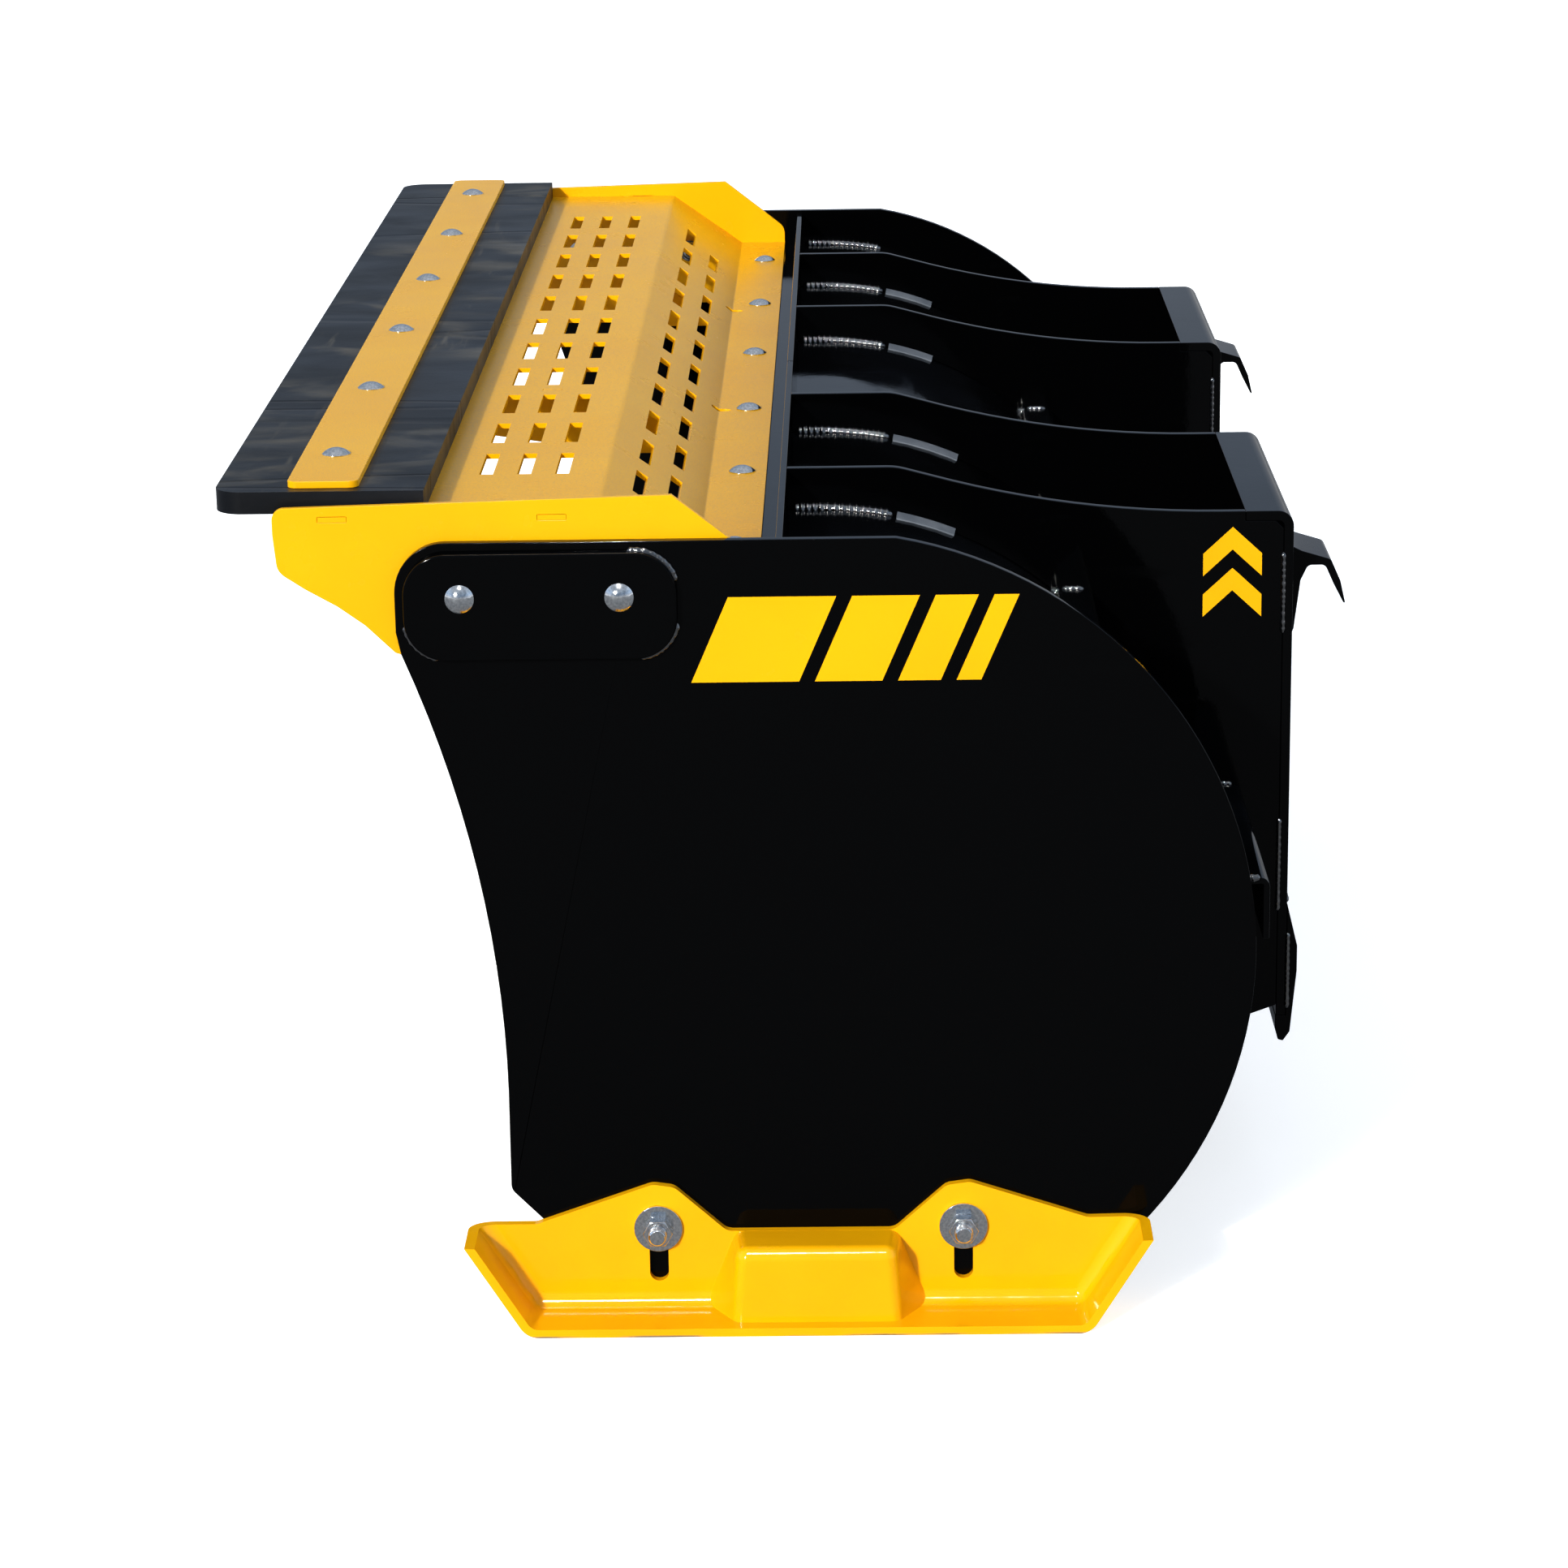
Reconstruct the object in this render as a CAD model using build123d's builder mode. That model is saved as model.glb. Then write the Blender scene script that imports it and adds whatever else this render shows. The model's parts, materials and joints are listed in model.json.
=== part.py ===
"""Six-foot box snow pusher for a skid steer loader, with its bolt-on back-drag kit.

Frame: +X to the operator's left, +Y to the loader (rear), +Z up, millimetres.
The origin is the middle of the footprint of the whole tool, at the soles of the skid shoes.
Side profiles are drawn as (y, z), with y counted rearwards from the row of bolts that
holds the back-drag kit, and z upwards from the soles.
"""
import math
import os

from build123d import *

# ---- driving dimensions -------------------------------------------------------------
WIDTH = 1828.8            # over the end plates, 72 in
PLATE_TOP = 731.0         # top edge of the end plates
END_T = 10.0              # end plates
DOUBLER_T = 9.5
RIB_T = 9.5
SHEET_T = 6.0             # moldboard
ARC_Y, ARC_Z = 75.6, 343.2    # centre of the rear arcs
END_R = 394.0             # rear arc of the end plates
BACK_R = 344.0            # convex side of the moldboard
ARC_END = 35.0            # degrees below level where the moldboard arc runs out straight
RUBBER_FRONT, HOOK_TIP = -458.5, 584.5    # foremost and rearmost points
MID_Y = (RUBBER_FRONT + HOOK_TIP) / 2

RAIL_Y, RAIL_T, RAIL_TOP = 40.0, 6.35, 727.0
LEDGE_FRONT = -45.0
RIB_X = (601.5, 248.0, -248.0, -601.5)
QA_REAR, QA_TOP, QA_T, QA_BOTTOM = 528.0, 680.0, 9.5, 172.0    # quick-attach plates
QA_FLANGE_Y = 482.0
PIN_X, PIN_Z, PIN_R, PIN_SLOT = 425.0, 225.0, 16.0, 62.0       # lock-pin slots

PANEL_T = 4.76            # back-drag kit
PANEL_TOP = 753.5
BEND_1_Y, BEND_2_Y, PANEL_FRONT = -117.0, -31.0, -398.0
FLANGE_REAR = 24.0
CHEEK_T = 6.35
RUBBER_T, RUBBER_W, RUBBER_L = 20.0, 187.5, 1778.0
BAR_T, BAR_W, BAR_L, BAR_Y = 6.35, 63.5, 1753.0, -362.0
SLOT_L, SLOT_W, SLOT_PITCH = 88.9, 12.7, 138.5
BOLT_ROW_X = (-762.0, -457.2, -152.4, 152.4, 457.2, 762.0)    # 12 in apart
CHEEK_BOLTS = ((-239.5, 682.5), (-98.2, 682.5))

SHOE_T = 8.0              # formed skid shoes
SHOE_GAP = 0.3            # sliding clearance to the end plate
SHOE_DEPTH = 67.3
SHOE_BOLTS_Y, SHOE_BOLT_Z = (-77.5, 203.5), 83.5
SHOE_TRAVEL = 44.0
SHOE_SLOT_R = 8.75

EDGE_T, EDGE_TOP, EDGE_BOTTOM = 25.4, 35.0, 160.0    # rubber cutting edge, along the slope
CLAMP_T, CLAMP_TOP, CLAMP_BOTTOM = 9.5, 42.0, 105.5
SHEET_RUN = 110.0         # straight run of the moldboard below its arc

IN_HALF, IN_FIVE_EIGHTHS = 12.7, 15.875    # bolt diameters
HOLE_R = 7.0              # round clearance hole of a half-inch bolt
SQUARE, SHOE_SQUARE = 13.2, 16.4           # square holes that hold the bolts' necks
RUN = 0.05                # radial gap of a nut on its shank

LEDGE_TOP = ARC_Z + BACK_R
FLANGE_TOP = LEDGE_TOP + PANEL_T
RAIL_REAR = RAIL_Y + RAIL_T
END_IN = WIDTH / 2 - END_T
END_OUT = WIDTH / 2
BAYS = [(END_IN, RIB_X[0] + RIB_T / 2)]
BAYS += [(a - RIB_T / 2, b + RIB_T / 2) for a, b in zip(RIB_X, RIB_X[1:])]
BAYS += [(RIB_X[3] - RIB_T / 2, -END_IN)]

os.makedirs("parts", exist_ok=True)


def side(x):
    """Vertical plane across X, with local axes (y, z)."""
    return Plane(origin=(x, -MID_Y, 0), x_dir=(0, 1, 0), z_dir=(1, 0, 0))


def level(z):
    """Horizontal plane at height z, with local axes (x, y)."""
    return Plane(origin=(0, -MID_Y, z), x_dir=(1, 0, 0), z_dir=(0, 0, 1))


def seat(x, y, z, normal):
    """Plane on a bolted face, its normal pointing out of the face."""
    across = (0, 1, 0) if abs(normal[0]) > 0.5 else (1, 0, 0)
    return Plane(origin=(x, y - MID_Y, z), x_dir=across, z_dir=normal)


def arc_point(radius, degrees):
    """Point of a rear arc, at an angle above level."""
    angle = math.radians(degrees)
    return (ARC_Y + radius * math.cos(angle), ARC_Z + radius * math.sin(angle))


def save(part, name):
    part.label = name
    export_step(part, f"parts/{name}.step")


def save_pair(part, name):
    """Write a left-hand piece and its right-hand mirror image."""
    save(part, f"{name}_left")
    save(mirror(part, about=Plane.YZ), f"{name}_right")


# ---- moldboard and end plates -------------------------------------------------------
SLOPE = (-math.sin(math.radians(ARC_END)), -math.cos(math.radians(ARC_END)))
TO_FRONT = (SLOPE[1], -SLOPE[0])
EDGE_ROOT = arc_point(BACK_R - SHEET_T, -ARC_END)


def on_slope(run, out):
    """Point beside the straight foot of the moldboard: run down it, out from its face."""
    return (EDGE_ROOT[0] + run * SLOPE[0] + out * TO_FRONT[0],
            EDGE_ROOT[1] + run * SLOPE[1] + out * TO_FRONT[1])


with BuildPart() as moldboard:
    with BuildSketch(side(-END_IN)):
        with BuildLine():
            Line((LEDGE_FRONT, LEDGE_TOP), (ARC_Y, LEDGE_TOP))
            ThreePointArc((ARC_Y, LEDGE_TOP), arc_point(BACK_R, 25), arc_point(BACK_R, -ARC_END))
            Line(arc_point(BACK_R, -ARC_END), on_slope(SHEET_RUN, -SHEET_T))
            Line(on_slope(SHEET_RUN, -SHEET_T), on_slope(SHEET_RUN, 0))
            Line(on_slope(SHEET_RUN, 0), EDGE_ROOT)
            ThreePointArc(EDGE_ROOT, arc_point(BACK_R - SHEET_T, 25), (ARC_Y, LEDGE_TOP - SHEET_T))
            Line((ARC_Y, LEDGE_TOP - SHEET_T), (LEDGE_FRONT, LEDGE_TOP - SHEET_T))
            Line((LEDGE_FRONT, LEDGE_TOP - SHEET_T), (LEDGE_FRONT, LEDGE_TOP))
        make_face()
    extrude(amount=2 * END_IN)
    with BuildSketch(level(LEDGE_TOP)):
        with Locations(*[(x, 0) for x in BOLT_ROW_X]):
            Circle(HOLE_R)
    extrude(amount=-2 * SHEET_T, mode=Mode.SUBTRACT)
    with BuildSketch(seat(0, *on_slope((CLAMP_TOP + CLAMP_BOTTOM) / 2, 0), (0, *TO_FRONT))):
        with Locations(*[(x, 0) for x in BOLT_ROW_X]):
            Circle(HOLE_R)
    extrude(amount=-2 * SHEET_T, mode=Mode.SUBTRACT)
save(moldboard.part, "moldboard")

KNEE = (146.7, PLATE_TOP)
PLATE_FOOT_Z = 28.0
FOOT_REAR_ANGLE = -math.degrees(math.asin((ARC_Z - PLATE_FOOT_Z) / END_R))
with BuildPart() as end_plate_left:
    with BuildSketch(side(END_IN)) as outline:
        with BuildLine():
            foot_rear = arc_point(END_R, FOOT_REAR_ANGLE)
            Line((-298, PLATE_TOP), KNEE)
            ThreePointArc(KNEE, arc_point(END_R, 15), foot_rear)
            Line(foot_rear, (-124, PLATE_FOOT_Z))
            Line((-124, PLATE_FOOT_Z), (-212.5, 119))
            Line((-212.5, 119), (-212, 215))
            ThreePointArc((-212, 215), (-238, 450), (-294, 630))
            Line((-294, 630), (-298, 650))
            Line((-298, 650), (-298, PLATE_TOP))
        make_face()
        fillet(outline.vertices().filter_by(lambda v: v.X < -290 and v.Y > 700), 46)
        fillet(outline.vertices().filter_by(lambda v: abs(v.Y - 119) < 1), 12)
    extrude(amount=END_T)
    with BuildSketch(side(END_IN)):
        with Locations(*[(y, SHOE_BOLT_Z) for y in SHOE_BOLTS_Y]):
            Rectangle(SHOE_SQUARE, SHOE_SQUARE)
        with Locations(*CHEEK_BOLTS):
            Circle(HOLE_R)
    extrude(amount=END_T, mode=Mode.SUBTRACT)
save_pair(end_plate_left.part, "end_plate")

with BuildPart() as doubler_left:
    with BuildSketch(side(END_OUT)):
        with Locations((-168.5, 674)):
            RectangleRounded(243, 97, 38)
        with Locations(*CHEEK_BOLTS):
            Rectangle(SQUARE, SQUARE, mode=Mode.SUBTRACT)
    extrude(amount=DOUBLER_T)
    chamfer(doubler_left.faces().sort_by(Axis.X)[-1].outer_wire().edges(), 1.2)
save_pair(doubler_left.part, "doubler")

RAIL_SEAM_X, RAIL_SEAM = 75.0, 1.6
with BuildPart() as top_rail:
    with BuildSketch(side(-END_IN)):
        with Locations((RAIL_Y + RAIL_T / 2, (RAIL_TOP + LEDGE_TOP) / 2)):
            Rectangle(RAIL_T, RAIL_TOP - LEDGE_TOP)
    extrude(amount=2 * END_IN)
    with BuildSketch(side(RAIL_SEAM_X)):
        with Locations((RAIL_Y, RAIL_TOP)):
            Rectangle(4 * RAIL_T, 30)
    extrude(amount=RAIL_SEAM, mode=Mode.SUBTRACT)
save(top_rail.part, "top_rail")

# ---- rear ribs and stiffeners -------------------------------------------------------
WELD_GAP = 0.15           # root gap along the curved weld seams
RIB_FOOT_Z = 166.0
RIB_HOLLOW_R = BACK_R + WELD_GAP
DIP = (459.4, 1697.0)     # centre of the hollow along the top of a rib
DIP_R = 1017.2


def dip(y):
    """Point of the hollow along the top of a rib."""
    return (y, DIP[1] - math.sqrt(DIP_R**2 - (y - DIP[0])**2))


def rib(x):
    foot_angle = -math.degrees(math.asin((ARC_Z - RIB_FOOT_Z) / RIB_HOLLOW_R))
    with BuildPart() as plate:
        with BuildSketch(side(x - RIB_T / 2)) as face:
            with BuildLine():
                Line((RAIL_REAR, LEDGE_TOP + WELD_GAP), (RAIL_REAR, RAIL_TOP))
                Line((RAIL_REAR, RAIL_TOP), (150, RAIL_TOP))
                Line((150, RAIL_TOP), dip(181))
                ThreePointArc(dip(181), dip(320), (DIP[0], QA_TOP))
                Line((DIP[0], QA_TOP), (QA_FLANGE_Y, QA_TOP))
                Line((QA_FLANGE_Y, QA_TOP), (QA_FLANGE_Y, QA_TOP - QA_T))
                Line((QA_FLANGE_Y, QA_TOP - QA_T), (511, QA_TOP - QA_T))
                Line((511, QA_TOP - QA_T), (QA_REAR - QA_T, 663))
                Line((QA_REAR - QA_T, 663), (QA_REAR - QA_T, 183))
                Line((QA_REAR - QA_T, 183), (494, 174))
                Line((494, 174), arc_point(RIB_HOLLOW_R, foot_angle))
                ThreePointArc(arc_point(RIB_HOLLOW_R, foot_angle), arc_point(RIB_HOLLOW_R, 30),
                              (ARC_Y, LEDGE_TOP + WELD_GAP))
                Line((ARC_Y, LEDGE_TOP + WELD_GAP), (RAIL_REAR, LEDGE_TOP + WELD_GAP))
            make_face()
            knee = face.vertices().filter_by(lambda v: abs(v.Y - RAIL_TOP) < 1 and v.X > 100)
            fillet(knee, 60)
        extrude(amount=RIB_T)
    return plate.part


for x, name in zip(RIB_X, ("rib_outer_left", "rib_inner_left", "rib_inner_right", "rib_outer_right")):
    save(rib(x), name)


def angle_bar(corner, reach, drop):
    """Folded stiffener in every bay between the ribs: a level leg and a leg that hangs down."""
    y, z = corner
    with BuildPart() as bars:
        for left, right in BAYS:
            with BuildSketch(side(right + WELD_GAP)) as legs:
                with BuildLine():
                    Polyline((y, z), (y, z - drop), (y - STIFF_T, z - drop),
                             (y - STIFF_T, z - STIFF_T), (y - reach, z - STIFF_T),
                             (y - reach, z), close=True)
                make_face()
                fillet(legs.vertices().sort_by(lambda v: v.X + v.Y)[-1], 9)
            extrude(amount=left - right - 2 * WELD_GAP)
    return bars.part


STIFF_T = 6.0
save(angle_bar((338, 606), 33.0, 33.0), "stiffener_upper")
save(angle_bar((482, 410), 67.6, 58.0), "stiffener_lower")

# ---- quick-attach plates, one behind each pair of ribs -------------------------------
QA_IN, QA_OUT = RIB_X[1] - RIB_T / 2, RIB_X[0] + RIB_T / 2

with BuildPart() as quick_attach_left:
    with BuildSketch(side(QA_IN)) as fold:
        with BuildLine():
            Polyline((QA_FLANGE_Y, QA_TOP), (QA_REAR, QA_TOP), (QA_REAR, QA_BOTTOM),
                     (QA_REAR - QA_T, QA_BOTTOM), (QA_REAR - QA_T, QA_TOP - QA_T),
                     (QA_FLANGE_Y, QA_TOP - QA_T), close=True)
        make_face()
        fillet(fold.vertices().sort_by(lambda v: v.X + v.Y)[-1], 15)
        inner = fold.vertices().filter_by(
            lambda v: abs(v.Y - QA_TOP + QA_T) < 1 and v.X > QA_FLANGE_Y + 1)
        fillet(inner, 5.5)
    extrude(amount=QA_OUT - QA_IN)
    with BuildSketch(Plane(origin=(0, QA_REAR - MID_Y, 0), x_dir=(1, 0, 0), z_dir=(0, -1, 0))):
        with Locations((PIN_X, PIN_Z)):
            SlotOverall(PIN_SLOT, 2 * PIN_R)
    extrude(amount=QA_T, mode=Mode.SUBTRACT)
save_pair(quick_attach_left.part, "quick_attach")

with BuildPart() as pin_plate_left:
    with BuildSketch(side(QA_IN)):
        with BuildLine():
            Polyline((QA_REAR, 288), (538.5, 244), (538.5, 218), (532.5, 155), (526, 145.5), (521, 147),
                     (518, 160), (518, QA_BOTTOM), (QA_REAR, QA_BOTTOM), close=True)
        make_face()
    extrude(amount=QA_OUT - QA_IN)
    with BuildSketch(Plane(origin=(0, QA_REAR - MID_Y, 0), x_dir=(1, 0, 0), z_dir=(0, -1, 0))):
        with Locations((PIN_X, PIN_Z)):
            SlotOverall(PIN_SLOT, 2 * PIN_R)
    extrude(amount=-2 * QA_T, mode=Mode.SUBTRACT)
save_pair(pin_plate_left.part, "pin_plate")

LIP_W, LIP_OUT = 82.6, 550.0          # the hook lips are short claws, set in from the plates' ends

with BuildPart() as hook_lip_left:
    with BuildSketch(side(LIP_OUT - LIP_W)) as lip:
        with BuildLine():
            Polyline((QA_REAR, 634), (542, 627), (570, 618.5), (579.5, 597), (HOOK_TIP, 575),
                     (582.8, 575), (573, 594), (564.5, 613), (548, 613), (541, 598), (535, 550),
                     (QA_REAR, 532), close=True)
        make_face()
        crown = lip.vertices().filter_by(lambda v: v.X > 565 and 590 < v.Y < 620)
        fillet(crown, 6)
        arch = lip.vertices().filter_by(lambda v: v.X < 566 and 610 < v.Y < 614)
        fillet(arch, 6)
    extrude(amount=LIP_W)
save_pair(hook_lip_left.part, "hook_lip")

# ---- back-drag kit: cheeks, perforated panel, gussets, rubber and clamp bar ----------
CHEEK_OUT = END_IN
CHEEK_IN = CHEEK_OUT - CHEEK_T
PANEL_X = CHEEK_IN
TAB_L, TAB_FIT = 25.4, 0.25
CHEEK_TABS_Y = (-351.5, -157.0)
GUSSET_X, GUSSET_T, GUSSET_TAB_L = 2.5 * SLOT_PITCH, 6.35, 19.0
GUSSET_TABS_Y = (-300.0, -192.0)

with BuildPart() as cheek_left:
    with BuildSketch(side(CHEEK_IN)) as plate:
        with BuildLine():
            Polyline((-405, 761.5), (-51, 770), (24, 711), (24, LEDGE_TOP + 0.3), (-52, LEDGE_TOP + 0.3),
                     (-52, 640), (-75, 615), (-255, 615), (-300, 629), (-326, 654.5), (-350, 672),
                     (-378, 688), (-402, 704), (-405, 738), close=True)
        make_face()
        top_front = plate.vertices().filter_by(lambda v: v.Y > 761 and v.X < -300)
        fillet(top_front, 11)
        rear = plate.vertices().filter_by(lambda v: abs(v.Y - 711) < 0.1)
        fillet(rear, 16)
        nose = plate.vertices().filter_by(lambda v: abs(v.Y - 704) < 0.1)
        fillet(nose, 16)
        with Locations(*CHEEK_BOLTS):
            Circle(HOLE_R, mode=Mode.SUBTRACT)
        with Locations(*[(y, PANEL_TOP - PANEL_T / 2) for y in CHEEK_TABS_Y]):
            Rectangle(TAB_L + 2 * TAB_FIT, PANEL_T + 2 * TAB_FIT, mode=Mode.SUBTRACT)
    extrude(amount=CHEEK_T)
save_pair(cheek_left.part, "cheek")

SLOPE_RUN = BEND_2_Y - BEND_1_Y
SLOPE_DROP = PANEL_TOP - FLANGE_TOP
SLOPE_ANGLE = math.degrees(math.atan2(SLOPE_DROP, SLOPE_RUN))
LAP = PANEL_T * math.tan(math.radians(SLOPE_ANGLE / 2))    # how far the bends shift underneath

VENT_X = (-414.0, 159.5, 729.5)    # small relief slots at the lower bend
VENT_L, VENT_W = 20.0, 12.0

with BuildPart() as drag_panel:
    with BuildSketch(side(-PANEL_X)) as fold:
        with BuildLine():
            Polyline((PANEL_FRONT, PANEL_TOP), (BEND_1_Y, PANEL_TOP), (BEND_2_Y, FLANGE_TOP),
                     (FLANGE_REAR, FLANGE_TOP), (FLANGE_REAR, LEDGE_TOP), (BEND_2_Y - LAP, LEDGE_TOP),
                     (BEND_1_Y - LAP, PANEL_TOP - PANEL_T), (PANEL_FRONT, PANEL_TOP - PANEL_T), close=True)
        make_face()
        outer = fold.vertices().filter_by(
            lambda v: abs(v.X - BEND_1_Y) < 1 or abs(v.X - BEND_2_Y + LAP) < 1)
        fillet(outer, 8)
        inner = fold.vertices().filter_by(
            lambda v: abs(v.X - BEND_2_Y) < 1 or abs(v.X - BEND_1_Y + LAP) < 1)
        fillet(inner, 3.2)
    extrude(amount=2 * PANEL_X)
    with BuildSketch(level(PANEL_TOP)):
        with Locations(*[(s * (PANEL_X + CHEEK_T / 2), y) for s in (-1, 1) for y in CHEEK_TABS_Y]):
            Rectangle(CHEEK_T, TAB_L)
    extrude(amount=-PANEL_T)
    with BuildSketch(level(PANEL_TOP)):
        with Locations((0, -193)):
            with GridLocations(SLOT_PITCH, 35, 11, 3):
                Rectangle(SLOT_L, SLOT_W)
        with Locations(*[(s * GUSSET_X, y) for s in (-1, 1) for y in GUSSET_TABS_Y]):
            Rectangle(GUSSET_T + 2 * TAB_FIT, GUSSET_TAB_L + 2 * TAB_FIT)
        with Locations(*[(x, BAR_Y) for x in BOLT_ROW_X]):
            Circle(HOLE_R)
    extrude(amount=-2 * PANEL_T, mode=Mode.SUBTRACT)
    slope_plane = Plane(origin=(0, BEND_1_Y - MID_Y, PANEL_TOP), x_dir=(1, 0, 0),
                        z_dir=(0, SLOPE_DROP, SLOPE_RUN))
    with BuildSketch(slope_plane):
        with Locations((0, 35)):
            with GridLocations(SLOT_PITCH, 1, 11, 1):
                Rectangle(SLOT_L, SLOT_W)
        with Locations((0, 71)):
            with GridLocations(SLOT_PITCH, 1, 10, 1):
                Rectangle(SLOT_L, SLOT_W)
        with Locations(*[(x, 106) for x in VENT_X]):
            SlotOverall(VENT_L, VENT_W, rotation=90)
    extrude(amount=2 * PANEL_T, both=True, mode=Mode.SUBTRACT)
    with BuildSketch(level(FLANGE_TOP)):
        with Locations(*[(x, 0) for x in BOLT_ROW_X]):
            Rectangle(SQUARE, SQUARE)
    extrude(amount=-2 * PANEL_T, mode=Mode.SUBTRACT)
save(drag_panel.part, "drag_panel")

with BuildPart() as gusset_left:
    with BuildSketch(side(GUSSET_X - GUSSET_T / 2)):
        with BuildLine():
            under = PANEL_TOP - PANEL_T
            Polyline((-388, under), (-124, under), (-52, under - 53.5), (-52, 688), (-118, 688),
                     (-388, 728), close=True)
        make_face()
        with Locations(*[(y, under) for y in GUSSET_TABS_Y]):
            Rectangle(GUSSET_TAB_L, 2 * PANEL_T)
    extrude(amount=GUSSET_T)
save_pair(gusset_left.part, "gusset")

RUBBER_Y = RUBBER_FRONT + RUBBER_W / 2
RUBBER_TOP = PANEL_TOP + RUBBER_T
BAR_TOP = RUBBER_TOP + BAR_T
with BuildPart() as drag_rubber:
    with BuildSketch(level(PANEL_TOP)) as slab:
        with Locations((0, RUBBER_Y)):
            Rectangle(RUBBER_L, RUBBER_W)
        fillet(slab.vertices().group_by(Axis.Y)[0], 26)
        with Locations(*[(x, BAR_Y) for x in BOLT_ROW_X]):
            Circle(HOLE_R, mode=Mode.SUBTRACT)
    extrude(amount=RUBBER_T)
save(drag_rubber.part, "drag_rubber")

with BuildPart() as drag_bar:
    with BuildSketch(level(RUBBER_TOP)):
        with Locations((0, BAR_Y)):
            RectangleRounded(BAR_L, BAR_W, 9)
        with Locations(*[(x, BAR_Y) for x in BOLT_ROW_X]):
            Rectangle(SQUARE, SQUARE, mode=Mode.SUBTRACT)
    extrude(amount=BAR_T)
save(drag_bar.part, "drag_bar")

# ---- rubber cutting edge at the foot of the moldboard --------------------------------
CLAMP_MIDDLE = (CLAMP_TOP + CLAMP_BOTTOM) / 2


def slope_strip(top, bottom, out_from, thick, length, holes):
    """Flat strip along the foot of the moldboard, with a row of bolt holes at the clamp line."""
    face = seat(0, *on_slope(0, out_from), (0, *TO_FRONT))
    with BuildPart() as strip:
        with BuildSketch(face):
            with Locations((0, -(top + bottom) / 2)):
                Rectangle(length, bottom - top)
            with Locations(*[(x, -CLAMP_MIDDLE) for x in BOLT_ROW_X]):
                if holes == "square":
                    Rectangle(SQUARE, SQUARE, mode=Mode.SUBTRACT)
                else:
                    Circle(HOLE_R, mode=Mode.SUBTRACT)
        extrude(amount=thick)
    return strip.part


STRIP_L = 2 * END_IN - 8
save(slope_strip(EDGE_TOP, EDGE_BOTTOM, 0, EDGE_T, STRIP_L, "round"), "cutting_edge")
save(slope_strip(CLAMP_TOP, CLAMP_BOTTOM, EDGE_T, CLAMP_T, STRIP_L, "square"), "edge_clamp_bar")
backing = slope_strip(CLAMP_TOP, CLAMP_BOTTOM, -SHEET_T - CLAMP_T, CLAMP_T, STRIP_L, "round")
save(backing, "edge_backing_bar")

# ---- skid shoes ---------------------------------------------------------------------
SHOE_X = END_OUT + SHOE_GAP
SHOE_LIP_X = SHOE_X + SHOE_DEPTH
SOLE_FRONT, SOLE_REAR = -197.0, 318.0
RAMP_RUN, RAMP_RISE = 0.62, 150.0    # end ramps: run for each mm of rise, height drawn
BUMP_DEPTH, BUMP_TOP, BUMP_ROUND = 54.0, 79.5, 12.0


def bump(shrink, rounding):
    """The pressed pocket in the middle of a shoe, or the hollow inside it."""
    bottom = SHOE_T - 2 + shrink
    top = BUMP_TOP - shrink
    with BuildPart() as pocket:
        with BuildSketch(side(SHOE_X)):
            with BuildLine():
                Polyline((-40 + shrink, bottom), (177 - shrink, bottom), (143 - shrink, top),
                         (-6 + shrink, top), close=True)
            make_face()
        with BuildSketch(side(SHOE_X + BUMP_DEPTH - shrink)):
            with BuildLine():
                Polyline((-6 + shrink, bottom), (143 - shrink, bottom), (142 - shrink, top - 0.5),
                         (-5 + shrink, top - 0.5), close=True)
            make_face()
        loft()
        front = pocket.faces().sort_by(Axis.X)[-1]
        roof = pocket.faces().sort_by(Axis.Z)[-1]
        rim = front.edges().filter_by(lambda e: e.center().Z > bottom + 5)
        slopes = roof.edges().filter_by(
            lambda e: SHOE_X + 2 < e.center().X < SHOE_X + BUMP_DEPTH - shrink - 2)
        fillet(rim + slopes, rounding)
    return pocket.part


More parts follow.
